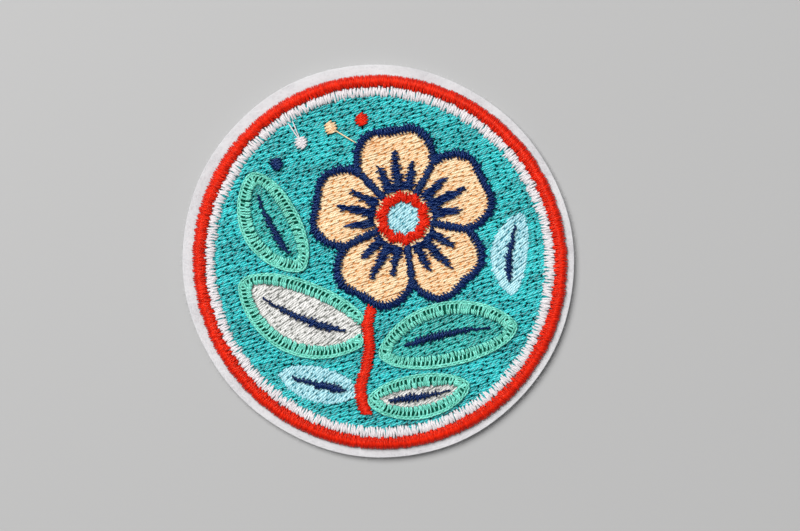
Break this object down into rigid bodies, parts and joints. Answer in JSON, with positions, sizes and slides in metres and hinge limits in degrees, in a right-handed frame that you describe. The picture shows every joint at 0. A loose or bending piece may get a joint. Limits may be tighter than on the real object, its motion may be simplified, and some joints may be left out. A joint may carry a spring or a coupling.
{
  "type": "embroidered patch",
  "caption": "Round embroidered patch: a raised red thread border and a white ring around a stitched blossom with leaves, on a felt disc.",
  "frame": {"origin": "centre of the felt's flat back", "axes": "+Z out of the stitched face, +Y towards the top of the picture, +X to its right"},
  "size_m": [0.076, 0.0762, 0.0027],
  "materials": {
    "felt": "off-white felt, slightly fibrous, matt",
    "thread_red": "bright red rayon thread, satin sheen",
    "thread_white": "white rayon thread, satin sheen",
    "thread_teal": "teal rayon thread, satin sheen",
    "thread_deep_teal": "deeper teal rayon thread, satin sheen",
    "thread_peach": "peach rayon thread, satin sheen",
    "thread_navy": "navy rayon thread, satin sheen",
    "thread_light_blue": "light blue rayon thread, satin sheen",
    "thread_grey": "light grey rayon thread, satin sheen",
    "thread_mint": "mint green rayon thread, satin sheen"
  },
  "bodies": {
    "root": {"felt_base": "felt", "red_border": "thread_red", "white_ring": "thread_white", "ground": "thread_teal", "petal_1": "thread_peach", "petal_2": "thread_peach", "petal_3": "thread_peach", "petal_4": "thread_peach", "petal_5": "thread_peach", "shade_1": "thread_navy", "shade_2": "thread_navy", "shade_3": "thread_navy", "shade_4": "thread_navy", "shade_5": "thread_navy", "petal_outline": "thread_navy", "heart": "thread_light_blue", "heart_ring": "thread_red", "stem": "thread_red", "leaf_1": "thread_grey", "leaf_2": "thread_deep_teal", "leaf_3": "thread_light_blue", "leaf_4": "thread_grey", "leaf_5": "thread_deep_teal", "leaf_6": "thread_light_blue", "vein_1": "thread_navy", "vein_2": "thread_navy", "vein_3": "thread_navy", "vein_4": "thread_navy", "vein_5": "thread_navy", "vein_6": "thread_navy", "edging_1": "thread_mint", "edging_2": "thread_mint", "edging_4": "thread_mint", "edging_5": "thread_mint", "dot_1": "thread_red", "dot_2": "thread_peach", "dot_3": "thread_white", "dot_4": "thread_navy"}
  },
  "joints": []
}
